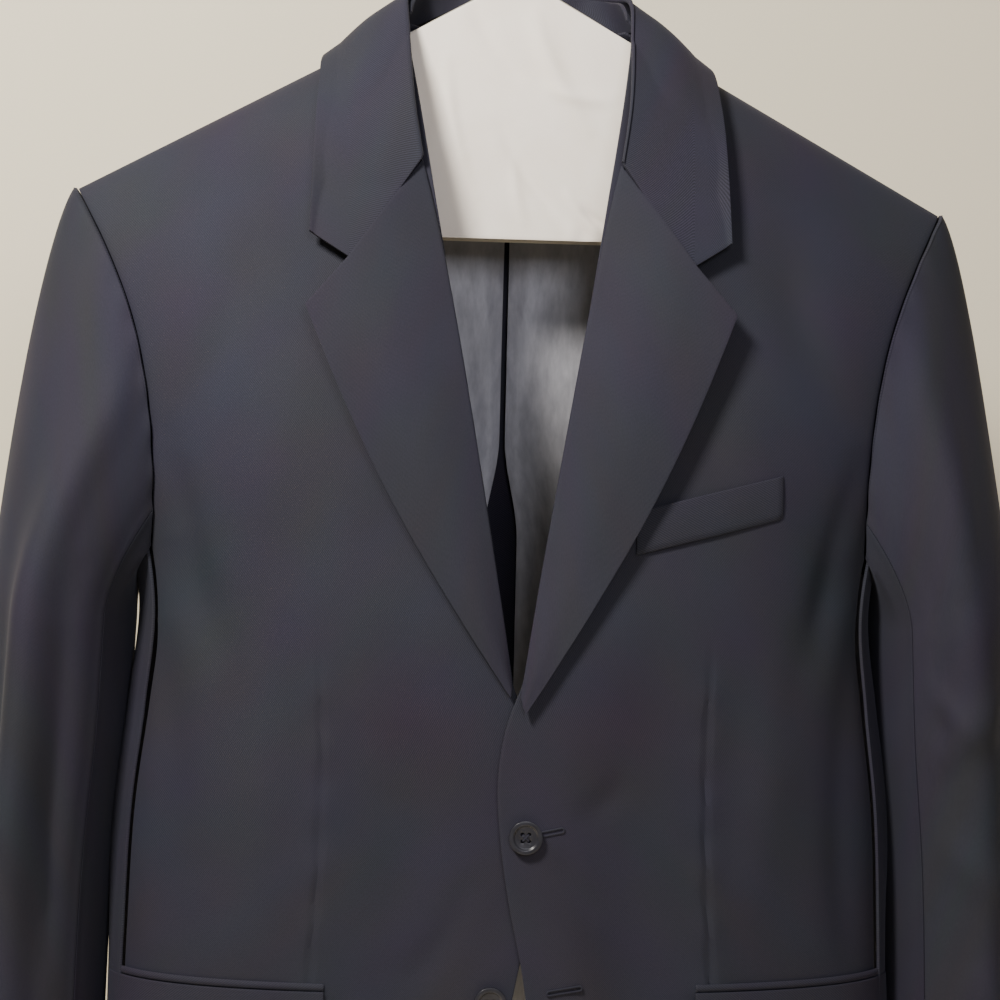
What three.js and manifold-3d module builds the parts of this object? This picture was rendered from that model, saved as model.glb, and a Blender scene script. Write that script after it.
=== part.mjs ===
// Single-breasted suit jacket hung on a wire hanger with a paper cover.
// Millimetres, +Z up, the jacket's front faces -Y, the wearer's left is +X.
// The origin is the underside of the hook's crown, where a rail carries it.
import * as THREE from 'three';
import Module from 'manifold-3d';

const wasm = await Module();
wasm.setup();

// ---- driving sizes ----
const WALL = 2;              // jacket cloth with its interlining
const LINING_WALL = 1;
const PAPER_WALL = 1;
const SEAM = 0.3;            // half of the space left at a sewn edge is on each side
const NECK_POINT = 107;      // x where the collar meets the shoulder's outline
const SHOULDER_Z = -107;     // height of the shoulder line there
const SHOULDER_SLOPE = 0.543;
const SHOULDER_TIP = 258;    // half of the shoulder width
const V_BOTTOM = -485;       // where the lapels close
const V_SLOPE = 0.171;       // half width of the V gained per millimetre of height
const NECKLINE_Z = -84;      // top edge of the back
const ARMPIT_Z = -408;
const ARM_SIDE_Z = -396;     // where the armhole turns under the arm
const HEM_Z = -850;
const SQUARENESS = 2.6;      // exponent of the body's superellipse section
const SIDE_SEAM = 0.95;      // side seams, as a share of the half width
const SLEEVE_RING_Z = -440;  // where the sleeve's head has become a plain tube
const CUFF_Z = -830;
const BUTTON_R = 9.3;
const WIRE_R = 1.6;
const HANGER_APEX = -55.5;
const HANGER_SLOPE = 0.55;
const BAR_Z = -207;

// Half width and depths of the body's section at each height.
const BODY = [
  { z: -189, width: 300, front: 50, back: 58 }, { z: -265, width: 262, front: 61, back: 63 },
  { z: -350, width: 234, front: 70, back: 67 }, { z: -400, width: 219, front: 74, back: 69 },
  { z: -430, width: 215, front: 76, back: 70 }, { z: -485, width: 219, front: 78, back: 70 },
  { z: -545, width: 226, front: 80, back: 71 }, { z: -612, width: 229, front: 82, back: 72 },
  { z: -700, width: 231, front: 83, back: 73 }, { z: -850, width: 236, front: 84, back: 75 },
];
// The armhole's distance from the centre at each height.
const ARMHOLE = [
  { z: -189, x: 258 }, { z: -222, x: 240 }, { z: -265, x: 222 },
  { z: -308, x: 212 }, { z: -350, x: 208 }, { z: -396, x: 208 },
];
// Front edges below the V: over is the wearer's left, under is the right, both away from the centre.
const FRONT_EDGE = [
  { z: -470, over: 2.5, under: 2.5 }, { z: -490, over: -5, under: -5 }, { z: -520, over: -10, under: -15 },
  { z: -557, over: -8, under: -19 }, { z: -590, over: -3, under: -14 }, { z: -623, over: 4, under: -5 },
  { z: -652, over: 9, under: 1 }, { z: -700, over: 20, under: 13 }, { z: -760, over: 38, under: 32 },
  { z: -810, over: 62, under: 57 }, { z: -838, over: 90, under: 86 }, { z: -850, over: 116, under: 112 },
];
// Centre and half sizes of the sleeve tube at each height.
const SLEEVE = [
  { z: -440, x: 261, y: 0, a: 40, b: 70 }, { z: -500, x: 264, y: -2, a: 40, b: 66 },
  { z: -572, x: 269.5, y: -4, a: 39, b: 61 }, { z: -700, x: 273.5, y: -9, a: 38.5, b: 56 },
  { z: -830, x: 277.5, y: -18, a: 38, b: 52 },
];
// The collar from the centre back (s 0) to the gorge (s 1): fold line, then outer edge.
// Where edgeY is missing the edge lies on the body.
const COLLAR = [
  { s: 0, x: 0, y: 46, z: -56, edgeX: 0, edgeY: 60, edgeZ: -112 },
  { s: 0.25, x: 38, y: 40, z: -57, edgeX: 50, edgeY: 52, edgeZ: -113 },
  { s: 0.45, x: 60, y: 23, z: -61, edgeX: 89, edgeY: 35, edgeZ: -114 },
  { s: 0.6, x: 67, y: 1, z: -69, edgeX: 113, edgeY: 2, edgeZ: -105 },
  { s: 0.75, x: 66.5, y: -17, z: -95, edgeX: 118, edgeY: -27, edgeZ: -133 },
  { s: 0.9, x: 63, y: -38, z: -140, edgeX: 120.5, edgeY: -48, edgeZ: -183 },
  { s: 1, x: 58, y: -46, z: -172, edgeX: 121.5, edgeY: -57, edgeZ: -217 },
];
const NOTCH = { x: 98, z: -232 };       // inner corner of the notch
const LAPEL_POINT = { x: 121, z: -261 };

// ---- helpers ----
const lerp = (a, b, t) => a + (b - a) * t;
const clamp = (t, lo = 0, hi = 1) => Math.min(hi, Math.max(lo, t));
const smooth = (a, b, t) => { const q = clamp((t - a) / (b - a)); return q * q * (3 - 2 * q); };
const tent = (t, peak) => (t < peak ? t / peak : (1 - t) / (1 - peak));

// A smooth curve through one column of a table; rows run in order of the key column.
function along(rows, column, at, key = 'z') {
  const dir = Math.sign(rows[1][key] - rows[0][key]);
  let i = rows.findIndex((row) => (row[key] - at) * dir > 0) - 1;
  if (i === -1) return rows[0][column];
  if (i < -1) return rows[rows.length - 1][column];
  const p = (k) => rows[clamp(k, 0, rows.length - 1)];
  const slope = (k) => {
    const lo = p(k - 1), hi = p(k + 1);
    return (hi[column] - lo[column]) / (hi[key] - lo[key]);
  };
  const span = p(i + 1)[key] - p(i)[key], t = (at - p(i)[key]) / span, t2 = t * t, t3 = t2 * t;
  return p(i)[column] * (2 * t3 - 3 * t2 + 1) + slope(i) * span * (t3 - 2 * t2 + t)
    + p(i + 1)[column] * (3 * t2 - 2 * t3) + slope(i + 1) * span * (t3 - t2);
}

const group = new THREE.Group();
group.name = 'suit_jacket_on_hanger';

const MATERIALS = {
  wool: { color: 0x2d2e3a, roughness: 0.85, metalness: 0 },
  lining: { color: 0x6f6f78, roughness: 0.4, metalness: 0 },
  paper: { color: 0xe4ddd4, roughness: 0.8, metalness: 0 },
  steel: { color: 0xb8b8b8, roughness: 0.35, metalness: 1 },
  button: { color: 0x1c1d22, roughness: 0.35, metalness: 0 },
};

function addMesh(name, positions, indices, material) {
  const geometry = new THREE.BufferGeometry();
  geometry.setAttribute('position', new THREE.BufferAttribute(new Float32Array(positions), 3));
  geometry.setIndex(indices);
  geometry.computeVertexNormals();
  const mesh = new THREE.Mesh(geometry, new THREE.MeshStandardMaterial(MATERIALS[material]));
  mesh.name = name;
  mesh.material.name = material;
  group.add(mesh);
  return mesh;
}

function signedVolume(points, triangles) {
  let volume = 0;
  for (const [a, b, c] of triangles) volume += points[a].dot(points[b].clone().cross(points[c]));
  return volume / 6;
}

// A closed wall on the grid point(u, v): its outer skin is the grid, and its inner skin lies
// a wall's thickness against normal(u, v).
function wall(name, point, normal, columns, rows, thickness, material, limit = (p) => p) {
  const points = [], triangles = [];
  for (const depth of [0, thickness]) {
    for (let j = 0; j <= rows; j += 1) {
      for (let i = 0; i <= columns; i += 1) {
        const u = i / columns, v = j / rows;
        points.push(limit(point(u, v).addScaledVector(normal(u, v), -depth)));
      }
    }
  }
  const skin = (columns + 1) * (rows + 1);
  const at = (i, j, k) => k * skin + j * (columns + 1) + i;
  const quad = (a, b, c, d) => triangles.push([a, b, c], [a, c, d]);
  for (let j = 0; j < rows; j += 1) {
    for (let i = 0; i < columns; i += 1) {
      quad(at(i, j, 0), at(i + 1, j, 0), at(i + 1, j + 1, 0), at(i, j + 1, 0));
      quad(at(i, j, 1), at(i, j + 1, 1), at(i + 1, j + 1, 1), at(i + 1, j, 1));
    }
  }
  for (let i = 0; i < columns; i += 1) {
    quad(at(i, 0, 1), at(i + 1, 0, 1), at(i + 1, 0, 0), at(i, 0, 0));
    quad(at(i, rows, 0), at(i + 1, rows, 0), at(i + 1, rows, 1), at(i, rows, 1));
  }
  for (let j = 0; j < rows; j += 1) {
    quad(at(0, j, 0), at(0, j + 1, 0), at(0, j + 1, 1), at(0, j, 1));
    quad(at(columns, j, 1), at(columns, j + 1, 1), at(columns, j + 1, 0), at(columns, j, 0));
  }
  const flip = signedVolume(points, triangles) < 0;
  const indices = triangles.flatMap(([a, b, c]) => (flip ? [a, c, b] : [a, b, c]));
  return addMesh(name, points.flatMap((p) => [p.x, p.y, p.z]), indices, material);
}

// Normal of a grid from its two tangents; sign picks the side that faces out.
function gridNormal(point, sign) {
  const step = 0.002;
  return (u, v) => {
    const across = point(Math.min(1, u + step), v).sub(point(Math.max(0, u - step), v));
    const down = point(u, Math.min(1, v + step)).sub(point(u, Math.max(0, v - step)));
    return across.cross(down).normalize().multiplyScalar(sign);
  };
}

// ---- the body's surface ----
const shoulderZ = (x) => SHOULDER_Z - SHOULDER_SLOPE * (Math.abs(x) - NECK_POINT);

// Depth of the body's section at the centre, rising from nothing at the shoulder line.
function sectionDepth(x, z, back) {
  const drop = Math.max(0.6, shoulderZ(x) - z);
  const full = along(BODY, back ? 'back' : 'front', z);
  return full * (1 - Math.exp(-drop / (back ? 35 : 60))) + 5 * (1 - Math.exp(-drop / 4));
}

const roundOff = (share) => (1 - Math.min(0.9999, share) ** SQUARENESS) ** (1 / SQUARENESS);
const depthAt = (x, z, back) => sectionDepth(x, z, back) * roundOff(Math.abs(x) / along(BODY, 'width', z));

// The wearer's left front stands forward of the right where they lap.
const lapStep = (side, x, z) => (side > 0 ? 5 * smooth(-400, -470, z) * (1 - smooth(25, 85, x)) : 0);

function frontPoint(x, z, side) {
  return new THREE.Vector3(x * side, -depthAt(x, z, false) - lapStep(side, x, z), z);
}

const backPoint = (x, z, side) => new THREE.Vector3(x * side, depthAt(x, z, true), z);

// A point part of the way round the side: angle 0 is the centre front and 90 degrees the side.
function roundPoint(angle, z, side) {
  const x = along(BODY, 'width', z) * Math.abs(Math.sin(angle)) ** (2 / SQUARENESS);
  const depth = Math.abs(Math.cos(angle)) ** (2 / SQUARENESS);
  const back = Math.cos(angle) < 0;
  return new THREE.Vector3(x * side, (back ? 1 : -1) * depth * sectionDepth(x, z, back), z);
}

function bodyNormal(p) {
  const value = (x, y, z) => (Math.abs(x) / along(BODY, 'width', z)) ** SQUARENESS
    + (Math.abs(y) / sectionDepth(x, z, y > 0)) ** SQUARENESS;
  const e = 0.05;
  return new THREE.Vector3(
    value(p.x + e, p.y, p.z) - value(p.x - e, p.y, p.z),
    value(p.x, p.y + e, p.z) - value(p.x, p.y - e, p.z),
    value(p.x, p.y, p.z + e) - value(p.x, p.y, p.z - e),
  ).normalize();
}

const seamAngle = Math.asin(SIDE_SEAM ** (SQUARENESS / 2));
const underarmZ = (angle) => ARMPIT_Z
  + (ARM_SIDE_Z - ARMPIT_Z) * ((angle - Math.PI / 2) / (seamAngle - Math.PI / 2)) ** 2;
const outerEdge = (z) => (z > ARM_SIDE_Z
  ? along(ARMHOLE, 'x', z) : SIDE_SEAM * along(BODY, 'width', z));
const innerEdge = (z, side) => (z > -470
  ? V_SLOPE * (z - V_BOTTOM) : along(FRONT_EDGE, side > 0 ? 'over' : 'under', z));

// Across a panel from its inner to its outer edge at u, and down from its top edge at v.
function panelXZ(u, v, inner, top, outerGap) {
  const place = (z) => lerp(inner(z), outerEdge(z) - outerGap, u);
  let topZ = -150;
  for (let pass = 0; pass < 12; pass += 1) topZ = top(place(topZ));
  const z = lerp(topZ, HEM_Z, v);
  return [place(z), z];
}

// ---- fronts and backs ----
const SIDES = [{ side: 1, word: 'left' }, { side: -1, word: 'right' }];
for (const { side, word } of SIDES) {
  const front = (u, v) => {
    const [x, z] = panelXZ(u, v, (h) => innerEdge(h, side), shoulderZ, SEAM);
    return frontPoint(x, z, side);
  };
  wall(`front_${word}`, front, (u, v) => bodyNormal(front(u, v)), 9, 22, WALL, 'wool',
    (p) => p.setY(Math.min(p.y, -SEAM)));

  const backTop = (x) => Math.min(shoulderZ(x), NECKLINE_Z);
  const back = (u, v) => {
    const [x, z] = panelXZ(u, v, () => SEAM, backTop, SEAM);
    return backPoint(x, z, side);
  };
  wall(`back_${word}`, back, (u, v) => bodyNormal(back(u, v)), 7, 18, WALL, 'wool',
    (p) => p.setY(Math.max(p.y, SEAM)).setX(side * Math.max(side * p.x, SEAM)));

  const gapAngle = 0.006;
  const sidePanel = (u, v) => {
    const angle = lerp(seamAngle + gapAngle, Math.PI - seamAngle - gapAngle, u);
    return roundPoint(angle, lerp(underarmZ(angle) - 2 * SEAM, HEM_Z, v), side);
  };
  wall(`side_${word}`, sidePanel, (u, v) => bodyNormal(sidePanel(u, v)), 6, 13, WALL, 'wool');
}

// ---- sleeves ----
// The armhole's edge, from the shoulder tip (0) to under the arm (1), on the front or the back.
function armholePoint(share, side, back) {
  let p;
  if (share < 0.8) {
    const z = -189 - (-189 - ARM_SIDE_Z) * (share / 0.8) ** 1.15;
    p = back ? backPoint(outerEdge(z + 0.01), z, 1) : frontPoint(outerEdge(z + 0.01), z, -1);
    p.x = Math.abs(p.x);
  } else {
    const angle = lerp(seamAngle, Math.PI / 2, (share - 0.8) / 0.2);
    p = roundPoint(back ? Math.PI - angle : angle, underarmZ(angle), 1);
  }
  return new THREE.Vector3((p.x + 5 * SEAM + 1.6 * smooth(0.65, 0.9, share)) * side, p.y, p.z);
}

// turn runs once round the sleeve from the outside: 0 to pi over the front, pi to 2 pi behind.
function sleevePoint(turn, v, side) {
  const back = turn > Math.PI;
  const share = (back ? 2 * Math.PI - turn : turn) / Math.PI;
  const ring = (z) => new THREE.Vector3(
    side * (along(SLEEVE, 'x', z) + along(SLEEVE, 'a', z) * Math.cos(turn)),
    along(SLEEVE, 'y', z) - along(SLEEVE, 'b', z) * Math.sin(turn), z);
  const head = 0.42;
  if (v >= head) return ring(lerp(SLEEVE_RING_Z, CUFF_Z, (v - head) / (1 - head)));
  const outside = (1 + Math.cos(turn)) / 2, forward = -Math.sin(turn);
  const leave = new THREE.Vector3(side * (5 + 40 * outside + 14 * Math.abs(forward)), 25 * forward, -32 - 28 * outside);
  const arrive = new THREE.Vector3(side * 8 * outside, 4 * forward, -32 - 228 * outside);
  const t = v / head, t2 = t * t, t3 = t2 * t;
  return armholePoint(share, side, back).multiplyScalar(2 * t3 - 3 * t2 + 1)
    .addScaledVector(leave, t3 - 2 * t2 + t)
    .addScaledVector(ring(SLEEVE_RING_Z), 3 * t2 - 2 * t3)
    .addScaledVector(arrive, t3 - t2);
}

const UNDER_HALF = 0.27 * Math.PI;  // the under sleeve's half, round the inside
for (const { side, word } of SIDES) {
  const gap = 0.003;
  const stretch = (from, to) => (u, v) => sleevePoint((lerp(from, to, u) + 4 * Math.PI) % (2 * Math.PI), v, side);
  const upper = stretch(-Math.PI + UNDER_HALF + gap, Math.PI - UNDER_HALF - gap);
  const under = stretch(Math.PI - UNDER_HALF + gap, Math.PI + UNDER_HALF - gap);
  wall(`sleeve_upper_${word}`, upper, gridNormal(upper, -side), 12, 13, WALL, 'wool');
  wall(`sleeve_under_${word}`, under, gridNormal(under, -side), 8, 13, WALL, 'wool');
}

// ---- collar ----
const clearOfBody = (p, clearance) => {
  const x = Math.abs(p.x), drop = shoulderZ(x) - p.z;
  if (drop > 0 && x > 60) {
    const back = p.y > 0;
    const least = depthAt(x, p.z, back) + clearance;
    if (Math.abs(p.y) < least) p.setY(back ? least : -least);
  }
  return p;
};

function collarPoint(u, w) {
  const s = Math.abs(2 * u - 1), side = u < 0.5 ? -1 : 1;
  const get = (column) => along(COLLAR, column, s, 's');
  const end = smooth(0.8, 1, s) * tent(w, 0.63);
  const bow = 2.2 * Math.sin(Math.PI * Math.min(1, 1.25 * w));
  const p = new THREE.Vector3(
    lerp(get('x'), get('edgeX'), w) + end * (NOTCH.x - lerp(58, 121.5, 0.63)),
    lerp(get('y'), get('edgeY'), w),
    lerp(get('z'), get('edgeZ'), w) + end * (NOTCH.z - lerp(-172, -217, 0.63)));
  const out = new THREE.Vector2(p.x, p.y + (s > 0.6 ? -30 : 0)).normalize();
  p.x += bow * out.x * (1 - smooth(0.75, 1, s));
  p.y += bow * (s < 0.6 ? out.y : -0.5);
  p.z += bow * 0.5 * (1 - smooth(0.8, 1, s));
  p.x *= side;
  return clearOfBody(p, 4.5 + 4 * w);
}
wall('collar_fall', collarPoint, gridNormal(collarPoint, -1), 26, 4, WALL, 'wool');

const STAND_REACH = 0.66;
function standPoint(u, w) {
  const s = Math.abs(2 * u - 1) * STAND_REACH, side = u < 0.5 ? -1 : 1;
  const fold = new THREE.Vector3(along(COLLAR, 'x', s, 's'), along(COLLAR, 'y', s, 's'), along(COLLAR, 'z', s, 's'));
  const foot = new THREE.Vector3(
    lerp(fold.x, along(COLLAR, 'edgeX', s, 's'), 0.1), fold.y - 5 * (1 - smooth(0.3, 0.6, s)), 0);
  foot.z = Math.max(NECKLINE_Z + 1.5, shoulderZ(foot.x) + 2) - (s > 0.6 ? 25 * (s - 0.6) : 0);
  const inset = new THREE.Vector3(-fold.x, -fold.y, 0).normalize();
  fold.addScaledVector(inset, 3);
  fold.z -= 0.8;
  return fold.lerp(foot, w).setX(side * lerp(fold.x, foot.x, w));
}
wall('collar_stand', standPoint, gridNormal(standPoint, 1), 16, 2, WALL, 'wool');

// ---- lapels ----
for (const { side, word } of SIDES) {
  const lapel = (u, v) => {
    const foot = V_BOTTOM + (side > 0 ? 0 : 9);
    const rollZ = lerp(-173.6, foot + 8, v);
    const rollX = V_SLOPE * (rollZ - V_BOTTOM) + 4.5 * (1 - v) ** 6;
    const outer = { x: lerp(LAPEL_POINT.x, 4, v) + 9 * Math.sin(Math.PI * v), z: lerp(LAPEL_POINT.z - 0.8, foot - 1, v) };
    const x = lerp(rollX, outer.x, u);
    const z = lerp(rollZ, outer.z, u) - 4.6 * tent(u, 0.635) * (1 - v) ** 3;
    const lift = 2.5 + (9 * Math.sin(Math.min(1, 1.5 * u) * Math.PI / 2) + 3 * u) * (1 - 0.75 * v);
    const p = frontPoint(Math.max(x, 1), z, side);
    return new THREE.Vector3(x * side, p.y, p.z).addScaledVector(bodyNormal(p), lift);
  };
  wall(`lapel_${word}`, lapel, gridNormal(lapel, side), 5, 13, WALL, 'wool');
}

// ---- what lies on the fronts ----
const raised = (p, lift) => p.clone().addScaledVector(bodyNormal(p), lift);

const WELT = { x: 66, endX: 152, z: -397, rise: 22, height: 25 };
const welt = (u, v) => raised(frontPoint(lerp(WELT.x, WELT.endX, u),
  WELT.z + WELT.rise * u + WELT.height * (1 - v), 1), 2.2);
wall('breast_welt', welt, (u, v) => bodyNormal(welt(u, v)), 6, 2, WALL * 0.8, 'wool');

const POCKET = { fromX: 104, endAngle: 1.36, topZ: -637, jet: 4.5, flap: 54 };
const pocketStart = Math.asin((POCKET.fromX / along(BODY, 'width', POCKET.topZ)) ** (SQUARENESS / 2));
for (const { side, word } of SIDES) {
  const jet = (u, v) => raised(roundPoint(lerp(pocketStart, POCKET.endAngle, u), POCKET.topZ - POCKET.jet * v, side), 1.6);
  wall(`pocket_jet_${word}`, jet, (u, v) => bodyNormal(jet(u, v)), 9, 1, 1.2, 'wool');
  const corner = (u) => 9 * (1 - Math.sqrt(1 - clamp(1 - u * 12) ** 2));
  const flap = (u, v) => raised(roundPoint(lerp(pocketStart, POCKET.endAngle, u),
    POCKET.topZ - POCKET.jet - 0.4 - (POCKET.flap - corner(u) - corner(1 - u)) * v, side), 2.8 + 1.2 * v);
  wall(`pocket_flap_${word}`, flap, (u, v) => bodyNormal(flap(u, v)), 9, 3, WALL, 'wool');
}

// ---- back lining, with its pleat at the centre ----
const LINING_IN = 8.6;
for (const { side, word } of SIDES) {
  const lining = (u, v) => {
    const place = (z) => lerp(1.6 + 9 * smooth(-328, -392, z), outerEdge(z) - 19, u);
    let topZ = -150;
    for (let pass = 0; pass < 12; pass += 1) topZ = Math.min(shoulderZ(place(topZ)) - 26, NECKLINE_Z - 28);
    const z = lerp(topZ, HEM_Z + 18, v);
    const p = backPoint(place(z), z, side);
    return p.addScaledVector(bodyNormal(p), -LINING_IN);
  };
  wall(`lining_back_${word}`, lining, gridNormal(lining, -side), 6, 12, LINING_WALL, 'lining');
}

// ---- buttons ----
function button(name, x, z, side) {
  const { Manifold } = wasm;
  const disc = Manifold.cylinder(3.4, BUTTON_R - 0.9, BUTTON_R, 40)
    .subtract(Manifold.cylinder(1.2, 5.6, 6.4, 40).translate([0, 0, 2.4]));
  const hole = Manifold.cylinder(6, 0.95, 0.95, 12).translate([0, 0, -1]);
  const holes = [[1, 1], [1, -1], [-1, 1], [-1, -1]].map(([i, j]) => hole.translate([i * 1.9, j * 1.9, 0]));
  const mesh = disc.subtract(Manifold.union(holes)).getMesh();
  const seat = frontPoint(Math.abs(x), z, side);
  seat.x = x;
  const normal = bodyNormal(seat);
  const turn = new THREE.Matrix4().makeRotationFromQuaternion(
    new THREE.Quaternion().setFromUnitVectors(new THREE.Vector3(0, 0, 1), normal));
  turn.setPosition(seat.addScaledVector(normal, 0.8));
  const made = addMesh(name, Array.from(mesh.vertProperties), Array.from(mesh.triVerts), 'button');
  made.geometry.applyMatrix4(turn);
}
button('button_front_top', 5.6, -554, 1);
button('button_front_bottom', -12, -647, -1);

// ---- hanger and paper ----
// A round wire along a list of points; a closed route joins its ends.
function wire(name, route, closed, segments) {
  const curve = new THREE.CatmullRomCurve3(route, closed, 'centripetal');
  const count = closed ? segments : segments + 1, sides = 10, points = [], triangles = [];
  const frames = curve.computeFrenetFrames(segments, closed);
  for (let j = 0; j < count; j += 1) {
    const centre = curve.getPointAt(j / segments);
    for (let i = 0; i < sides; i += 1) {
      const angle = (2 * Math.PI * i) / sides;
      points.push(centre.clone().addScaledVector(frames.normals[j], WIRE_R * Math.cos(angle))
        .addScaledVector(frames.binormals[j], WIRE_R * Math.sin(angle)));
    }
  }
  const last = closed ? count : count - 1;
  for (let j = 0; j < last; j += 1) {
    for (let i = 0; i < sides; i += 1) {
      const a = j * sides + i, b = j * sides + ((i + 1) % sides);
      const c = ((j + 1) % count) * sides + i, d = ((j + 1) % count) * sides + ((i + 1) % sides);
      triangles.push([a, b, d], [a, d, c]);
    }
  }
  if (!closed) {
    points.push(curve.getPointAt(0), curve.getPointAt(1));
    for (let i = 0; i < sides; i += 1) {
      const next = (i + 1) % sides, end = (count - 1) * sides;
      triangles.push([count * sides, next, i], [count * sides + 1, end + i, end + next]);
    }
  }
  const flip = signedVolume(points, triangles) < 0;
  const indices = triangles.flatMap(([a, b, c]) => (flip ? [a, c, b] : [a, b, c]));
  addMesh(name, points.flatMap((p) => [p.x, p.y, p.z]), indices, 'steel');
}

const HOOK_R = 17;
const hookRoute = [];
for (let k = 0; k <= 12; k += 1) {
  const angle = lerp(-0.45, Math.PI, k / 12);
  hookRoute.push(new THREE.Vector3(-HOOK_R * Math.cos(angle), 0, HOOK_R * Math.sin(angle) - HOOK_R + WIRE_R));
}
hookRoute.push(new THREE.Vector3(14, 0, -30), new THREE.Vector3(3, 0, -41), new THREE.Vector3(0, 0, HANGER_APEX + 4.2));
wire('hanger_hook', hookRoute, false, 40);

const HANGER_END = 200;
const armZ = (x) => HANGER_APEX - HANGER_SLOPE * Math.abs(x);
const frameHalf = [[8, armZ(8)], [60, armZ(60)], [120, armZ(120)], [175, armZ(175)],
  [HANGER_END, armZ(HANGER_END) - 2], [205, -181], [198, -197], [180, BAR_Z + 1], [150, BAR_Z], [60, BAR_Z]];
const frameRoute = [[0, armZ(0) - 1.5], ...frameHalf, ...frameHalf.slice().reverse().map(([x, z]) => [-x, z])]
  .map(([x, z]) => new THREE.Vector3(x, 0, z));
wire('hanger_frame', frameRoute, true, 80);

// Two leaves of paper lie against the hanger's arms, one before and one behind.
const PAPER_HALF = 178;
for (const { word, face } of [{ word: 'front', face: -1 }, { word: 'back', face: 1 }]) {
  const leaf = (u, v) => {
    const x = lerp(-PAPER_HALF, PAPER_HALF, u);
    const top = Math.min(armZ(x) + 0.8, HANGER_APEX - 6);
    return new THREE.Vector3(x, face * (3.2 + 5 * Math.sin(Math.PI * v * 0.6)), lerp(top, BAR_Z - 5, v));
  };
  wall(`paper_${word}`, leaf, () => new THREE.Vector3(0, face, 0), 12, 4, PAPER_WALL, 'paper');
}

export default group;
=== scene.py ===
# %% [markdown]
# # A suit jacket on a wire hanger
#
# This file builds the looks of a navy single-breasted jacket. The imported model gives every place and
# size; here its faceted cloth is replaced by smooth shells that carry creases, seams and a weave.
# Lengths in the tables are millimetres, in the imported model's own frame: +Z is up, the front faces -Y,
# the wearer's left is +X, and the origin is under the crown of the hook.

# %% The frame
import math

import bpy
import numpy as np
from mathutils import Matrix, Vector


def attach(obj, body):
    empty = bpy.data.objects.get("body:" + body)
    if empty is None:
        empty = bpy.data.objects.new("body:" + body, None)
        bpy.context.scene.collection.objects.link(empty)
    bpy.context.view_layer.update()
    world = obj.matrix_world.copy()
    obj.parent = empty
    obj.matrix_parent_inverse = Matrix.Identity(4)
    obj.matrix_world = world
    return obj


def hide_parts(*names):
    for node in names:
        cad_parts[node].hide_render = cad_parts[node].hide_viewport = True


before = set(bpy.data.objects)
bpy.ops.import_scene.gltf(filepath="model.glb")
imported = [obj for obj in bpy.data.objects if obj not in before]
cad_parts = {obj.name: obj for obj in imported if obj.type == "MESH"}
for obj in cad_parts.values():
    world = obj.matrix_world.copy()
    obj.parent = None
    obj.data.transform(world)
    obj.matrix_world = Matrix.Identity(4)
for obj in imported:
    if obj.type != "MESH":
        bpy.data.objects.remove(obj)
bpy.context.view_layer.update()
MM = 0.001
print("nodes in the frame:", len(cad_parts))

# %% [markdown]
# ## Camera and light
#
# A jacket on a hanger is nearly flat, so a long lens straight ahead shows its outline truly. The camera
# stands a little to the jacket's right-hand side and is rolled a degree. One broad light high on the
# camera's left models the lapels with a shadow beside them; the world and a weak second light fill
# the rest.

# %% Camera and light
CAMERA_AIM = Vector((-0.0085, -0.04, -0.367))
CAMERA_DISTANCE = 1.21
CAMERA_AZIMUTH = math.radians(-4.5)
CAMERA_ROLL = math.radians(1.2)
FIELD_OF_VIEW = math.radians(26.9)


def linear(hex_colour):
    """Turns an sRGB hex colour into the linear values that shaders take."""
    channels = [int(hex_colour[i:i + 2], 16) / 255 for i in (1, 3, 5)]
    bent = [c / 12.92 if c <= 0.04045 else ((c + 0.055) / 1.055) ** 2.4 for c in channels]
    return (*bent, 1.0)


def add_area_light(name, place, aim, size, power, colour):
    """Adds one square soft light turned towards a point."""
    bpy.ops.object.light_add(type="AREA", location=place)
    light = bpy.context.object
    light.name = name
    light.data.size = size
    light.data.energy = power
    light.data.color = linear(colour)[:3]
    light.rotation_euler = (Vector(aim) - Vector(place)).to_track_quat("-Z", "Y").to_euler()


view = Vector((math.sin(CAMERA_AZIMUTH), -math.cos(CAMERA_AZIMUTH), 0))
bpy.ops.object.camera_add(location=CAMERA_AIM + CAMERA_DISTANCE * view)
camera = bpy.context.object
camera.name = "camera"
look = (CAMERA_AIM - camera.location).to_track_quat("-Z", "Y").to_matrix().to_4x4()
camera.rotation_euler = look.to_euler()
camera.rotation_euler.rotate_axis("Z", CAMERA_ROLL)
camera.data.angle = FIELD_OF_VIEW
bpy.context.scene.camera = camera

add_area_light("key_light", (-0.62, -0.8, 0.5), (0.0, 0, -0.25), 0.28, 30, "#fffaf2")
add_area_light("fill_light", (0.2, -1.6, 0.1), (0, 0, -0.35), 0.5, 8, "#f4f4ff")
world = bpy.data.worlds.new("soft_room")
bpy.context.scene.world = world
world.use_nodes = True
world.node_tree.nodes["Background"].inputs["Color"].default_value = linear("#f3efe6")
world.node_tree.nodes["Background"].inputs["Strength"].default_value = 0.19
print("camera at", [round(c, 3) for c in camera.location])

# %% [markdown]
# ## Materials
#
# Each finish starts from the real one. Worsted wool is matt and dark, with a fine diagonal twill whose
# raised yarns catch a little light. The lining is a filament satin, so it is smoother, with a real soft
# sheen in its shader and a mottled painted sheen of lighter and darker patches in its colour. The cover
# is thin bleached paper, the hanger drawn steel, and the buttons polished resin.
# The patterns follow the cloth through its UV map, which every shell below stores in metres.

# %% Material helpers
def add_node(tree, kind, settings=None, inputs=None):
    """Adds one shader node, sets its properties, and sets or links its inputs."""
    node = tree.nodes.new(kind)
    for key, value in (settings or {}).items():
        setattr(node, key, value)
    for key, value in (inputs or {}).items():
        if isinstance(value, bpy.types.NodeSocket):
            tree.links.new(value, node.inputs[key])
        else:
            node.inputs[key].default_value = value
    return node


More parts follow.
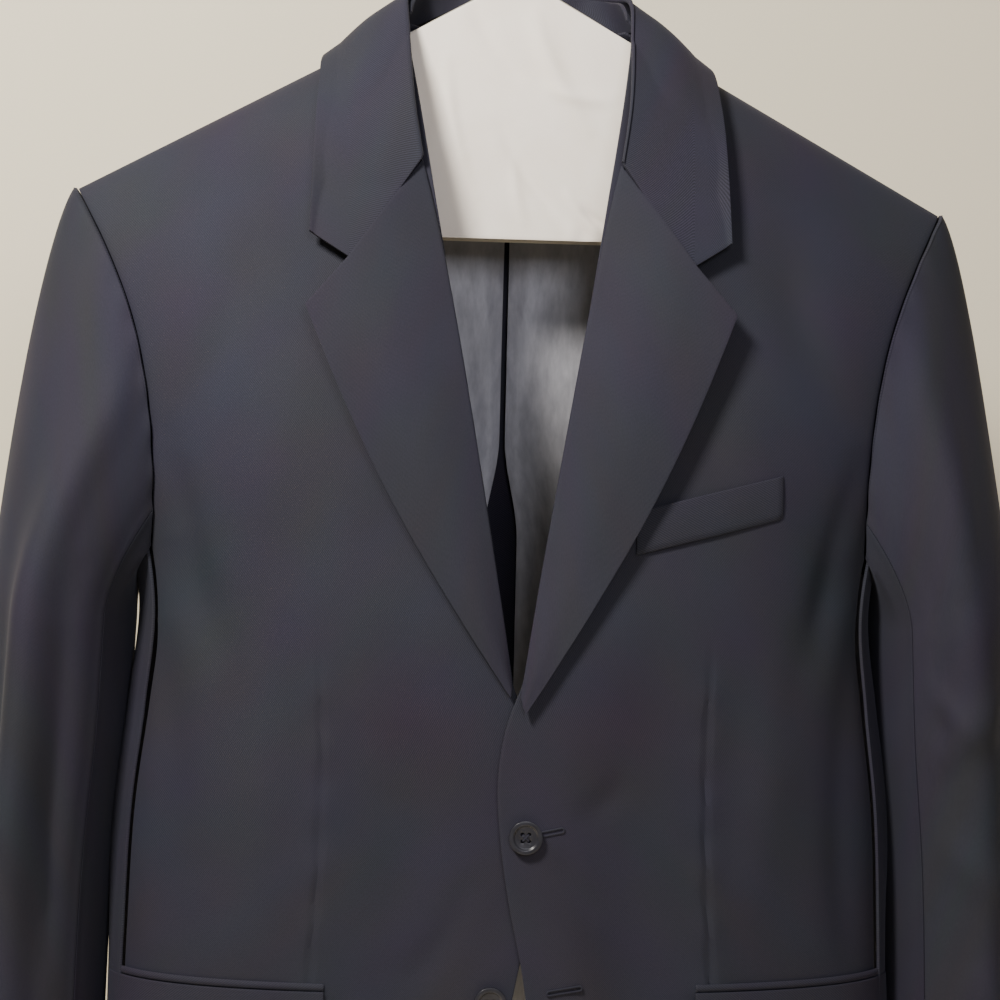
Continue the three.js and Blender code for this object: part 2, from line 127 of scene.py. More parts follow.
def new_material(name, base, roughness, **fixed):
    """Makes a material with a Principled shader and returns it with its tree and shader."""
    material = bpy.data.materials.new(name)
    material.use_nodes = True
    tree = material.node_tree
    shader = tree.nodes["Principled BSDF"]
    shader.inputs["Base Color"].default_value = linear(base)
    shader.inputs["Roughness"].default_value = roughness
    for key, value in fixed.items():
        shader.inputs[key.replace("_", " ")].default_value = value
    return material, tree, shader


# %% Worsted wool
TWILL_STEP = 0.0011  # metres between drawn twill lines; the real ones, at 0.4 mm, are too fine to show
BAND_STEP = 0.314  # metres between the bands of a wave texture whose scale is 1


def make_wool():
    """Navy worsted twill: matt, with diagonal yarns and a faint cloudiness from pressing."""
    material, tree, shader = new_material(
        "wool_navy_worsted_twill", "#22222d", 0.8, Sheen_Weight=0.1, Sheen_Roughness=0.45, IOR=1.5,
        Specular_IOR_Level=0.3)
    shader.inputs["Sheen Tint"].default_value = linear("#8d92a6")
    uv = add_node(tree, "ShaderNodeTexCoord").outputs["UV"]
    turned = add_node(tree, "ShaderNodeMapping", None, {"Vector": uv, "Rotation": (0, 0, math.radians(52))})
    twill = add_node(tree, "ShaderNodeTexWave", {"wave_type": "BANDS", "bands_direction": "X"}, {
        "Vector": turned.outputs[0], "Scale": BAND_STEP / TWILL_STEP, "Distortion": 1.2, "Detail": 2.0,
        "Detail Scale": 3.0})
    fibre = add_node(tree, "ShaderNodeTexNoise", None, {"Vector": uv, "Scale": 1400.0, "Detail": 3.0})
    cloud = add_node(tree, "ShaderNodeTexNoise", None, {"Vector": uv, "Scale": 14.0, "Detail": 2.0})
    grain = add_node(tree, "ShaderNodeMix", {"data_type": "FLOAT"}, {
        0: 0.5, 2: twill.outputs["Fac"], 3: fibre.outputs["Fac"]})
    yarn = add_node(tree, "ShaderNodeValToRGB", None, {"Fac": grain.outputs[0]})
    yarn.color_ramp.elements[0].position = 0.25
    yarn.color_ramp.elements[0].color = linear("#1b1b25")
    yarn.color_ramp.elements[1].position = 0.75
    yarn.color_ramp.elements[1].color = linear("#2e2d3a")
    worn = add_node(tree, "ShaderNodeMix", {"data_type": "RGBA", "blend_type": "SOFT_LIGHT"}, {
        0: 0.3, 6: yarn.outputs["Color"], 7: cloud.outputs["Color"]})
    tree.links.new(worn.outputs[2], shader.inputs["Base Color"])
    bump = add_node(tree, "ShaderNodeBump", None, {
        "Strength": 0.35, "Distance": 0.00025, "Height": grain.outputs[0]})
    tree.links.new(bump.outputs[0], shader.inputs["Normal"])
    return material


wool = make_wool()


# %% Lining, paper, steel and resin
def make_lining():
    """Grey filament satin: a real soft sheen, and soft vertical streaks of painted sheen mottled into its
    colour.
    """
    material, tree, shader = new_material(
        "lining_grey_satin", "#a9a9b1", 0.38, Sheen_Weight=0.15, IOR=1.5)
    uv = add_node(tree, "ShaderNodeTexCoord").outputs["UV"]
    streak = add_node(tree, "ShaderNodeMapping", None, {"Vector": uv, "Scale": (1.0, 0.3, 1.0)})
    # Painted sheen: this stretched noise mottles the colour lighter and darker in streaks, standing in for
    # the satin's sheen; it also bumps the cloth.
    sheen_paint_and_bump_noise = add_node(tree, "ShaderNodeTexNoise", None, {
        "Vector": streak.outputs[0], "Scale": 160.0, "Detail": 4.0, "Roughness": 0.6})
    ramp = add_node(tree, "ShaderNodeValToRGB", None, {"Fac": sheen_paint_and_bump_noise.outputs["Fac"]})
    ramp.color_ramp.elements[0].position = 0.3
    ramp.color_ramp.elements[0].color = linear("#9b9ba4")
    ramp.color_ramp.elements[1].position = 0.72
    ramp.color_ramp.elements[1].color = linear("#bcbcc4")
    tree.links.new(ramp.outputs["Color"], shader.inputs["Base Color"])
    bump = add_node(tree, "ShaderNodeBump", None, {
        "Strength": 0.3, "Distance": 0.0006, "Height": sheen_paint_and_bump_noise.outputs["Fac"]})
    tree.links.new(bump.outputs[0], shader.inputs["Normal"])
    return material


def make_paper():
    """Thin bleached wrapping paper: matt white with faint pulp and handling creases."""
    material, tree, shader = new_material("paper_bleached_thin", "#fbf1e6", 0.75, IOR=1.5)
    uv = add_node(tree, "ShaderNodeTexCoord").outputs["UV"]
    pulp = add_node(tree, "ShaderNodeTexNoise", None, {"Vector": uv, "Scale": 35.0, "Detail": 5.0})
    ramp = add_node(tree, "ShaderNodeValToRGB", None, {"Fac": pulp.outputs["Fac"]})
    ramp.color_ramp.elements[0].color = linear("#f4e8da")
    ramp.color_ramp.elements[1].color = linear("#fff8ee")
    tree.links.new(ramp.outputs["Color"], shader.inputs["Base Color"])
    bump = add_node(tree, "ShaderNodeBump", None, {
        "Strength": 0.25, "Distance": 0.002, "Height": pulp.outputs["Fac"]})
    tree.links.new(bump.outputs[0], shader.inputs["Normal"])
    return material


def make_steel():
    """Drawn steel wire: fine lengthwise scratches break up the shine."""
    material, tree, shader = new_material("steel_drawn_wire", "#b9b9b6", 0.3, Metallic=1.0)
    place = add_node(tree, "ShaderNodeTexCoord").outputs["Object"]
    scratch = add_node(tree, "ShaderNodeTexNoise", None, {"Vector": place, "Scale": 900.0, "Detail": 2.0})
    rough = add_node(tree, "ShaderNodeMapRange", None, {
        "Value": scratch.outputs["Fac"], "To Min": 0.22, "To Max": 0.42})
    tree.links.new(rough.outputs[0], shader.inputs["Roughness"])
    return material


def make_resin():
    """Polished dark resin buttons, faintly clouded like horn."""
    material, tree, shader = new_material("resin_polished_dark", "#17171b", 0.26, IOR=1.54)
    place = add_node(tree, "ShaderNodeTexCoord").outputs["Object"]
    cloud = add_node(tree, "ShaderNodeTexNoise", None, {"Vector": place, "Scale": 130.0, "Detail": 3.0})
    ramp = add_node(tree, "ShaderNodeValToRGB", None, {"Fac": cloud.outputs["Fac"]})
    ramp.color_ramp.elements[0].color = linear("#15151a")
    ramp.color_ramp.elements[1].color = linear("#33333b")
    tree.links.new(ramp.outputs["Color"], shader.inputs["Base Color"])
    return material


lining_satin, paper_white = make_lining(), make_paper()
steel_wire, button_resin = make_steel(), make_resin()
print("materials:", [m.name for m in (wool, lining_satin, paper_white, steel_wire, button_resin)])

# %% [markdown]
# ## The body's surface
#
# A hung jacket is a tube flattened front to back, whose depth falls to nothing along the sloping
# shoulders. The real panels all lie on that one surface, so it is written once, as a half width and
# depth at each height with a squared-off oval between them, and every panel takes its points from it.

# %% Sizes and tables
SHOULDER_Z, SHOULDER_SLOPE, NECK_POINT = -107, 0.543, 107
V_BOTTOM, V_SLOPE = -485, 0.171
NECKLINE_Z, ARM_SIDE_Z, ARMPIT_Z, HEM_Z = -84, -396, -408, -850
SHOULDER_TIP_Z = -189
SQUARENESS, SIDE_SEAM = 2.6, 0.95
FRONT_FALL, BACK_FALL = 60, 35  # how far below the shoulder line most of the depth is reached
SHOULDER_DEPTH, SHOULDER_FALL = 5, 4  # the thin roll along the shoulder line itself
LAP_STEP, LAP_TOP_Z, LAP_FULL_Z = 5, -400, -470  # the left front's step over the right one
LAP_NEAR, LAP_FAR = 25, 85  # the step fades out between these distances from the centre
FIRST_GUESS_Z, GUESS_ROUNDS = -150.0, 12
SIDES = ((1, "left"), (-1, "right"))

BODY_COLUMNS = ("z", "width", "front", "back")
BODY = ((-189, 300, 50, 58), (-265, 262, 61, 63), (-350, 234, 70, 67), (-400, 219, 74, 69),
        (-430, 215, 76, 70), (-485, 219, 78, 70), (-545, 226, 80, 71), (-612, 229, 82, 72),
        (-700, 231, 83, 73), (-850, 236, 84, 75))
ARMHOLE_COLUMNS = ("z", "x")
ARMHOLE = ((-189, 258), (-222, 240), (-265, 222), (-308, 212), (-350, 208), (-396, 208))
EDGE_COLUMNS = ("z", "over", "under")
FRONT_EDGE = ((-470, 2.5, 2.5), (-490, -5, -5), (-520, -10, -15), (-557, -8, -19), (-590, -3, -14),
              (-623, 4, -5), (-652, 9, 1), (-700, 20, 13), (-760, 38, 32), (-810, 62, 57),
              (-838, 90, 86), (-850, 116, 112))


def along(rows, columns, column, at):
    """Reads one column of a table as a smooth curve of its first column."""
    table = np.array(sorted(rows), dtype=float)
    keys, values = table[:, 0], table[:, columns.index(column)]
    slopes = np.gradient(values, keys)
    at = np.clip(np.asarray(at, dtype=float), keys[0], keys[-1])
    i = np.clip(np.searchsorted(keys, at) - 1, 0, len(keys) - 2)
    span = keys[i + 1] - keys[i]
    t = (at - keys[i]) / span
    return (values[i] * (2 * t**3 - 3 * t**2 + 1) + slopes[i] * span * (t**3 - 2 * t**2 + t)
            + values[i + 1] * (3 * t**2 - 2 * t**3) + slopes[i + 1] * span * (t**3 - t**2))


def smooth(a, b, t):
    """Rises softly from 0 at a to 1 at b."""
    q = np.clip((t - a) / (b - a), 0, 1)
    return q * q * (3 - 2 * q)


def tent(t, peak):
    """Rises straight to 1 at the peak and falls straight back to 0."""
    return np.where(t < peak, t / peak, (1 - t) / (1 - peak))


# %% The surface itself
def shoulder_height(x):
    """Height of the shoulder line."""
    return SHOULDER_Z - SHOULDER_SLOPE * (np.abs(x) - NECK_POINT)


def section_depth(x, z, back):
    """Depth of the body at its centre, growing from the shoulder line down."""
    drop = np.maximum(0.15, shoulder_height(x) - z)
    full = along(BODY, BODY_COLUMNS, "back" if back else "front", z)
    grown = 1 - np.exp(-drop / (BACK_FALL if back else FRONT_FALL))
    return full * grown + SHOULDER_DEPTH * (1 - np.exp(-drop / SHOULDER_FALL))


def depth_at(x, z, back):
    """Distance of the cloth from the middle plane."""
    share = np.clip(np.abs(x) / along(BODY, BODY_COLUMNS, "width", z), 0, 0.9999)
    return section_depth(x, z, back) * (1 - share**SQUARENESS) ** (1 / SQUARENESS)


def front_surface(x, z, side):
    """Points of a front; the wearer's left stands forward of the right where they lap."""
    step = 0
    if side > 0:
        step = LAP_STEP * smooth(LAP_TOP_Z, LAP_FULL_Z, z) * (1 - smooth(LAP_NEAR, LAP_FAR, x))
    return np.stack([side * x, -depth_at(x, z, False) - step, z], axis=-1)


def round_surface(angle, z, side):
    """Points round the side: angle 0 is the centre front and a half turn the centre back."""
    x = along(BODY, BODY_COLUMNS, "width", z) * np.abs(np.sin(angle)) ** (2 / SQUARENESS)
    reach = np.abs(np.cos(angle)) ** (2 / SQUARENESS)
    behind, before = section_depth(x, z, True) * reach, -section_depth(x, z, False) * reach
    y = np.where(np.cos(angle) < 0, behind, before)
    return np.stack([side * x, y, z], axis=-1)


def outer_edge(z):
    """The armhole, then the side seam."""
    seam = SIDE_SEAM * along(BODY, BODY_COLUMNS, "width", z)
    return np.where(z > ARM_SIDE_Z, along(ARMHOLE, ARMHOLE_COLUMNS, "x", z), seam)


def inner_edge(z, side):
    """The roll line of the lapel, then the front edge."""
    below = along(FRONT_EDGE, EDGE_COLUMNS, "over" if side > 0 else "under", z)
    return np.where(z > FRONT_EDGE[0][0], V_SLOPE * (z - V_BOTTOM), below)


def panel_places(u, v, inner, top):
    """Spreads a panel between its two edges, from its top line down to the hem."""
    top_z = np.full_like(u, FIRST_GUESS_Z)
    for _ in range(GUESS_ROUNDS):
        top_z = top(inner(top_z) + (outer_edge(top_z) - inner(top_z)) * u)
    z = top_z + (HEM_Z - top_z) * v
    return inner(z) + (outer_edge(z) - inner(z)) * u, z


print("half width at the hem:", float(along(BODY, BODY_COLUMNS, "width", HEM_Z)), "mm")


# %% [markdown]
# ## Shells of cloth
#
# A panel of cloth is a grid that follows its surface, given its thickness by Solidify and softened at
# its cut edges by a small bevel. Simulating a tailored jacket would lose its pressed shape, so the
# creases are set one by one instead: each is a row in a table, a soft trough or ridge between two
# places with its own width and depth. Sewn edges turn in a little, which draws the seam.

# %% Shell helpers
flat_sizes = {}


def grid_parameters(columns, rows):
    """Two arrays that run from 0 to 1 across and down a grid."""
    return np.meshgrid(np.linspace(0, 1, columns + 1), np.linspace(0, 1, rows + 1))


def grid_normals(points, outward):
    """Unit normals of a grid of points; outward is 1 or -1 and picks their side."""
    across = np.gradient(points, axis=1)
    down = np.gradient(points, axis=0)
    normals = np.cross(across, down)
    normals /= np.maximum(np.linalg.norm(normals, axis=-1, keepdims=True), 1e-9)
    return outward * normals


def crease_depth(a, b, rows, curve=0.05):
    """Sums soft troughs at places (a, b). A row is: start a, b, end a, b, width, depth."""
    total = np.zeros_like(a)
    for a0, b0, a1, b1, width, depth in rows:
        run = np.array([a1 - a0, b1 - b0], dtype=float)
        length = np.hypot(*run)
        t = ((a - a0) * run[0] + (b - b0) * run[1]) / length**2
        aside = ((a - a0) * run[1] - (b - b0) * run[0]) / length
        bend = curve * length * np.sin(math.pi * np.clip(t, 0, 1))
        swell = np.sin(math.pi * np.clip(t, 0, 1)) ** 0.8 * (0.8 + 0.2 * np.sin(5 * t + a0))
        total += depth * swell * np.exp(-(((aside - bend) / width) ** 2))
    return total


def edge_turn(u, v, points, sides, amount=0.9, reach=2.6):
    """How far cloth turns in beside the named edges: left, right, top or bottom."""
    width = np.linalg.norm(np.diff(points, axis=1), axis=-1).sum(axis=1).mean()
    height = np.linalg.norm(np.diff(points, axis=0), axis=-1).sum(axis=0).mean()
    away = {"left": u * width, "right": (1 - u) * width, "top": v * height, "bottom": (1 - v) * height}
    return sum(amount * np.exp(-(away[side] / reach) ** 2) for side in sides)


def make_shell(name, node, points, outward, thickness, material):
    """Makes a cloth piece from a grid of millimetre points whose skin is its outer face."""
    rows, columns = points.shape[0] - 1, points.shape[1] - 1
    bpy.ops.object.select_all(action="DESELECT")
    bpy.ops.mesh.primitive_grid_add(x_subdivisions=columns, y_subdivisions=rows, size=1)
    piece = bpy.context.object
    piece.name = name
    piece.data.name = name
    piece.data.vertices.foreach_set("co", (points * MM).astype(np.float32).ravel())
    across = np.linalg.norm(np.diff(points, axis=1), axis=-1)
    down = np.linalg.norm(np.diff(points, axis=0), axis=-1)
    u_run = np.concatenate([np.zeros((rows + 1, 1)), across.cumsum(axis=1)], axis=1) * MM
    v_run = np.concatenate([np.zeros((1, columns + 1)), down.cumsum(axis=0)], axis=0) * MM
    loops = np.empty(len(piece.data.loops), dtype=np.int32)
    piece.data.loops.foreach_get("vertex_index", loops)
    uv = np.stack([u_run.ravel()[loops], v_run.ravel()[loops]], axis=-1)
    piece.data.uv_layers.active.data.foreach_set("uv", uv.astype(np.float32).ravel())
    piece.data.update()
    middle = (rows // 2) * columns + columns // 2
    wanted = grid_normals(points, outward)[rows // 2, columns // 2]
    if Vector(wanted).dot(piece.data.polygons[middle].normal) < 0:
        bpy.ops.object.mode_set(mode="EDIT")
        bpy.ops.mesh.select_all(action="SELECT")
        bpy.ops.mesh.flip_normals()
        bpy.ops.object.mode_set(mode="OBJECT")
    area = sum(face.area for face in piece.data.polygons)
    solidify = piece.modifiers.new("wall", "SOLIDIFY")
    solidify.thickness = thickness * MM
    solidify.offset = -1
    bpy.ops.object.modifier_apply(modifier="wall")
    bevel = piece.modifiers.new("soft_edge", "BEVEL")
    bevel.width = 0.3 * thickness * MM
    bevel.segments = 2
    bevel.angle_limit = math.radians(50)
    bpy.ops.object.modifier_apply(modifier="soft_edge")
    piece.data.materials.clear()
    piece.data.materials.append(material)
    bpy.ops.object.shade_smooth_by_angle(angle=math.radians(45))
    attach(piece, "root")
    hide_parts(node)
    # A narrow strip is cut at least 10 mm wide, because it is folded under.
    flat = (max(0.01, float(u_run[:, -1].max())), max(0.01, float(v_run[-1, :].max())))
    flat_sizes[name] = (round(flat[0], 3), round(flat[1], 3), round(area, 4))
    return piece


def rolled(points, normals, radius, turns=8):
    """Adds a half-round roll before the first column, so the cloth turns over its fold."""
    first, toward = points[:, 0], points[:, 0] - points[:, 1]
    toward -= (toward * normals[:, 0]).sum(-1, keepdims=True) * normals[:, 0]
    toward /= np.linalg.norm(toward, axis=-1, keepdims=True)
    centre = first - radius * normals[:, 0]
    extra = [centre + radius * (math.cos(a) * normals[:, 0] + math.sin(a) * toward)
             for a in np.linspace(math.pi, 0, turns, endpoint=False)]
    return np.concatenate([np.stack(extra, axis=1), points], axis=1)


# %% [markdown]
# ## Fronts
#
# Each front is cut with its edge, its dart and its armhole in one piece of cloth backed by canvas, so
# it hangs nearly smooth. It dips along the waist dart, drags softly from the armhole, and is
# slightly hollow below the chest.

# %% Front creases and panels
# start x, z, end x, z, width, depth; a negative depth is a ridge
FRONT_CREASES = {
    1: ((196, -395, 150, -520, 13, 3.2), (206, -330, 176, -470, 9, 2.2), (176, -420, 138, -640, 17, -2.6),
        (60, -500, 78, -720, 20, 2.4), (20, -560, 52, -600, 7, 1.6), (30, -548, 66, -520, 8, 1.4),
        (112, -640, 104, -850, 22, 3.0), (180, -660, 190, -850, 20, 3.4), (150, -690, 148, -850, 16, -2.4),
        (204, -430, 200, -640, 11, 3.4), (150, -200, 196, -330, 16, 2.2), (120, -300, 170, -410, 20, -1.6)),
    -1: ((196, -392, 146, -530, 14, 3.4), (206, -320, 180, -455, 9, 2.4), (170, -430, 140, -630, 18, -2.8),
         (64, -490, 80, -700, 21, 2.6), (22, -575, 60, -640, 9, 1.8), (112, -645, 108, -850, 20, 3.2),
         (182, -655, 186, -850, 22, 3.6), (148, -700, 150, -850, 15, -2.2), (203, -440, 198, -620, 12, 3.6),
         (152, -210, 200, -340, 15, 2.4), (126, -280, 168, -420, 22, -1.8)),
}
DART_X, DART_TOP, DART_END = 112, -436, -641


def front_grid(side):
    """A front panel's points with its creases, dart and turned edges."""
    u, v = grid_parameters(104, 200)
    x, z = panel_places(u, v, lambda h: inner_edge(h, side), shoulder_height)
    points = front_surface(x, z, side)
    normals = grid_normals(points, -side)
    dart = smooth(DART_TOP, DART_TOP - 60, z) * smooth(DART_END - 6, DART_END, z)
    dart_line = np.abs(x - DART_X - 4 * np.sin((z - DART_TOP) / 60))
    pucker = 0.5 * np.sin(z / 5.3) * np.exp(-(dart_line / 7) ** 2)
    sink = crease_depth(x, z, FRONT_CREASES[side])
    sink = sink * smooth(0, 12, x - inner_edge(z, side))
    seam = 1.5 * np.exp(-(dart_line / 1.6) ** 2) - 1.2 * np.exp(-(dart_line / 12) ** 2)
    sink = sink + dart * (seam + pucker)
    sink = sink + edge_turn(u, v, points, ("right",), 0.5, 2)
    sink = sink + edge_turn(u, v, points, ("bottom",), 1.2, 3)
    sink = sink * smooth(0, 10, shoulder_height(x) - z)
    return points - sink[..., None] * normals


for side, word in SIDES:
    make_shell(f"front_cloth_{word}", f"front_{word}", front_grid(side), -side, 2, wool)
print("fronts made")

# %% [markdown]
# ## Back and side panels
#
# The back hangs from the shoulder blades in long shallow folds that fade toward the hem. They are drawn
# the same way as the front's creases, with a plain seam down the centre.

# %% Back and sides
BACK_CREASES = {
    1: ((40, -230, 60, -620, 26, 3.6), (100, -260, 120, -700, 24, -3.0), (196, -380, 130, -540, 15, 4.0),
        (150, -240, 186, -400, 15, 2.6), (160, -560, 172, -850, 22, 3.4), (70, -600, 84, -850, 26, 2.6)),
    -1: ((44, -250, 56, -660, 24, 3.2), (104, -240, 116, -680, 26, -3.2), (196, -386, 124, -560, 16, 4.2),
         (150, -230, 190, -410, 14, 2.4), (158, -540, 170, -850, 24, 3.2), (66, -620, 88, -850, 22, 2.8)),
}


CENTRE_OVERLAP = 1.2  # the right half starts just past the centre, so that no light shows in the seam


def back_top(x):
    """The back's upper edge: the neckline, then the shoulder."""
    return np.minimum(shoulder_height(x), NECKLINE_Z)


def back_grid(side):
    """A back panel's points."""
    u, v = grid_parameters(72, 150)
    start = 0.0 if side > 0 else -CENTRE_OVERLAP
    x, z = panel_places(u, v, lambda height: np.full_like(height, start), back_top)
    points = np.stack([side * x, depth_at(x, z, True), z], axis=-1)
    normals = grid_normals(points, side)
    sink = crease_depth(x, z, BACK_CREASES[side]) * smooth(0, 20, x)
    sink = sink + edge_turn(u, v, points, ("left", "right"))
    sink = sink * smooth(0, 10, shoulder_height(x) - z)
    return points - sink[..., None] * normals


SEAM_ANGLE = math.asin(SIDE_SEAM ** (SQUARENESS / 2))
SEAM_GAP = 0.0006  # radians between the side panel and each of its neighbours
SIDE_CREASES = ((30, -430, 44, -640, 12, 2.6), (56, -520, 40, -800, 12, -1.8))
SIDE_CREASE_WIDTH = 80  # the creases' first place runs from 0 to this across the panel


def underarm_height(angle):
    """The bottom of the armhole."""
    away = (angle - math.pi / 2) / (SEAM_ANGLE - math.pi / 2)
    return ARMPIT_Z + (ARM_SIDE_Z - ARMPIT_Z) * away**2


def side_grid(side):
    """The narrow panel under the arm."""
    u, v = grid_parameters(30, 110)
    angle = SEAM_ANGLE + SEAM_GAP + (math.pi - 2 * (SEAM_ANGLE + SEAM_GAP)) * u
    top_z = underarm_height(angle)
    z = top_z + (HEM_Z - top_z) * v
    points = round_surface(angle, z, side)
    normals = grid_normals(points, side)
    folds = crease_depth(u * SIDE_CREASE_WIDTH, z, SIDE_CREASES)
    sink = folds + edge_turn(u, v, points, ("left", "right"))
    return points - sink[..., None] * normals


for side, word in SIDES:
    make_shell(f"back_cloth_{word}", f"back_{word}", back_grid(side), side, 2, wool)
    make_shell(f"side_cloth_{word}", f"side_{word}", side_grid(side), side, 2, wool)
print("back and sides made")

# %% [markdown]
# ## Sleeves
#
# A two-piece sleeve is set into the armhole and falls as a flattened tube. Hung up empty it caves in
# along its front, so a long hollow runs down each, with short diagonal folds by the elbow.

# %% Sleeves
SLEEVE_COLUMNS = ("z", "x", "y", "a", "b")
SLEEVE = ((-440, 261, 0, 40, 70), (-500, 264, -2, 40, 66), (-572, 269.5, -4, 39, 61),
          (-700, 273.5, -9, 38.5, 56), (-830, 277.5, -18, 38, 52))
SLEEVE_RING_Z, CUFF_Z, SLEEVE_HEAD = -440, -830, 0.42
UNDER_HALF = 0.27 * math.pi
SIDE_SHARE = 0.8  # share of the armhole's edge that lies on the front or back, above the side panel
# start turn, z, end turn, z, width, depth; a turn is in degrees from the outside over the front
SLEEVE_CREASES = {
    -1: ((80, -270, 84, -760, 13, 15.0), (48, -240, 54, -620, 14, -4.0), (104, -400, 112, -640, 11, -4.0),
         (60, -520, 110, -600, 12, 3.0), (44, -640, 100, -690, 12, 3.4), (250, -300, 262, -640, 18, 6.0),
         (300, -420, 250, -560, 14, 3.0), (20, -560, 60, -620, 12, 2.6)),
    1: ((48, -232, 92, -420, 13, 6.0), (84, -400, 88, -760, 15, 7.0), (60, -470, 128, -520, 11, 4.4),
        (74, -506, 132, -462, 9, 3.6), (40, -600, 118, -560, 13, 5.0), (96, -630, 40, -690, 12, 3.4),
        (112, -380, 116, -560, 11, -3.4), (252, -310, 262, -660, 18, 6.0), (300, -440, 246, -560, 14, 3.2)),
}


def armhole_points(share, side, back):
    """The armhole's edge, from the shoulder tip (0) to under the arm (1)."""
    drop = SHOULDER_TIP_Z - ARM_SIDE_Z
    z = SHOULDER_TIP_Z - drop * (np.minimum(share, SIDE_SHARE) / SIDE_SHARE) ** 1.15
    x = outer_edge(z + 0.01)
    y = np.where(back, depth_at(x, z, True), -depth_at(x, z, False))
    upper = np.stack([x, y, z], axis=-1)
    angle = SEAM_ANGLE + (math.pi / 2 - SEAM_ANGLE) * (share - SIDE_SHARE) / (1 - SIDE_SHARE)
    angle = np.where(share < SIDE_SHARE, SEAM_ANGLE, angle)
    lower = round_surface(np.where(back, math.pi - angle, angle), underarm_height(angle), 1)
    joined = np.where((share < SIDE_SHARE)[..., None], upper, lower)
    joined[..., 0] = (joined[..., 0] + 0.3 + 1.2 * smooth(0.65, 0.9, share)) * side
    return joined


def sleeve_ring(turn, z, side):
    """A level ring of the sleeve."""
    x, y, a, b = (along(SLEEVE, SLEEVE_COLUMNS, column, z) for column in ("x", "y", "a", "b"))
    return np.stack([side * (x + a * np.cos(turn)), y - b * np.sin(turn), z], axis=-1)


def sleeve_grid(start, end, side, columns, rows=165):
    """One piece of a sleeve between two turns."""
    u, v = grid_parameters(columns, rows)
    turn = np.mod(start + (end - start) * u, 2 * math.pi)
    back = turn > math.pi
    share = np.where(back, 2 * math.pi - turn, turn) / math.pi
    # The head is a smooth curve down from the armhole: leave and arrive are its directions at its ends.
    outside, forward = (1 + np.cos(turn)) / 2, -np.sin(turn)
    spring = 5 + 40 * outside + 14 * np.abs(forward)
    leave = np.stack([side * spring, 25 * forward, -32 - 28 * outside], axis=-1)
    arrive = np.stack([side * 8 * outside, 4 * forward, -32 - 228 * outside], axis=-1)
    t = np.minimum(v / SLEEVE_HEAD, 1)[..., None]
    head = (armhole_points(share, side, back) * (2 * t**3 - 3 * t**2 + 1) + leave * (t**3 - 2 * t**2 + t)
            + sleeve_ring(turn, np.full_like(turn, SLEEVE_RING_Z), side) * (3 * t**2 - 2 * t**3)
            + arrive * (t**3 - t**2))
    z = SLEEVE_RING_Z + (CUFF_Z - SLEEVE_RING_Z) * np.clip((v - SLEEVE_HEAD) / (1 - SLEEVE_HEAD), 0, 1)
    points = np.where((v < SLEEVE_HEAD)[..., None], head, sleeve_ring(turn, z, side))
    normals = grid_normals(points, -side)
    sink = crease_depth(np.degrees(turn), points[..., 2], SLEEVE_CREASES[side], 0.012)
    sink = sink * smooth(0.02, 0.12, v) * (1 - smooth(0.93, 1.0, v))
    sink = sink * smooth(0, 0.1, u) * (1 - smooth(0.9, 1, u))
    sink = sink + edge_turn(u, v, points, ("left", "right"), 0.7)
    sink = sink + edge_turn(u, v, points, ("top",), 0.6, 2)
    ease = 0.5 * np.sin(np.degrees(turn) / 2.6) * np.exp(-(v / 0.035) ** 2)
    return points - (sink + ease)[..., None] * normals


for side, word in SIDES:
    upper = sleeve_grid(-math.pi + UNDER_HALF, math.pi - UNDER_HALF, side, 96)
    make_shell(f"sleeve_upper_cloth_{word}", f"sleeve_upper_{word}", upper, -side, 2, wool)
    under = sleeve_grid(math.pi - UNDER_HALF, math.pi + UNDER_HALF, side, 48)
    make_shell(f"sleeve_under_cloth_{word}", f"sleeve_under_{word}", under, -side, 2, wool)
print("sleeves made")

# %% [markdown]
# ## Collar and lapels
#
# The collar stands against the neck and falls over its fold line; the lapel is the top of the front
# turned back along the roll line. Both stand proud of the chest, so each is a leaf lifted off the body
# that starts with a half-round roll where the cloth turns over.

# %% Collar and stand
COLLAR_COLUMNS = ("s", "x", "y", "z", "edge_x", "edge_y", "edge_z")
COLLAR = ((0, 0, 46, -56, 0, 60, -112), (0.25, 38, 40, -57, 50, 52, -113),
          (0.45, 60, 23, -61, 89, 35, -114), (0.6, 67, 1, -69, 113, 2, -105),
          (0.75, 66.5, -17, -95, 118, -27, -133), (0.9, 63, -38, -140, 120.5, -48, -183),
          (1, 58, -46, -172, 121.5, -57, -217))
# The collar's end would be cut straight; its place at NOTCH_AT is pulled out to the notch's corner.
NOTCH_X, NOTCH_Z, NOTCH_AT = 98, -232, 0.63
END = dict(zip(COLLAR_COLUMNS, COLLAR[-1]))
NOTCH_PULL_X = NOTCH_X - (END["x"] + (END["edge_x"] - END["x"]) * NOTCH_AT)
NOTCH_PULL_Z = NOTCH_Z - (END["z"] + (END["edge_z"] - END["z"]) * NOTCH_AT)
STAND_REACH = 0.66


def clear_of_body(points, clearance):
    """Keeps a lifted leaf off the panels below it."""
    x, y, z = np.abs(points[..., 0]), points[..., 1], points[..., 2]
    drop = shoulder_height(x) - z
    least = np.where(y > 0, depth_at(x, z, True), depth_at(x, z, False)) + clearance
    lifted = np.where(y > 0, np.maximum(y, least), np.minimum(y, -least))
    points[..., 1] = np.where(drop > 0, lifted, y)
    return points


def collar_lines(s):
    """The fold and the outer edge of the collar at a share of the way from its back to its end."""
    return [along(COLLAR, COLLAR_COLUMNS, column, s) for column in COLLAR_COLUMNS[1:]]


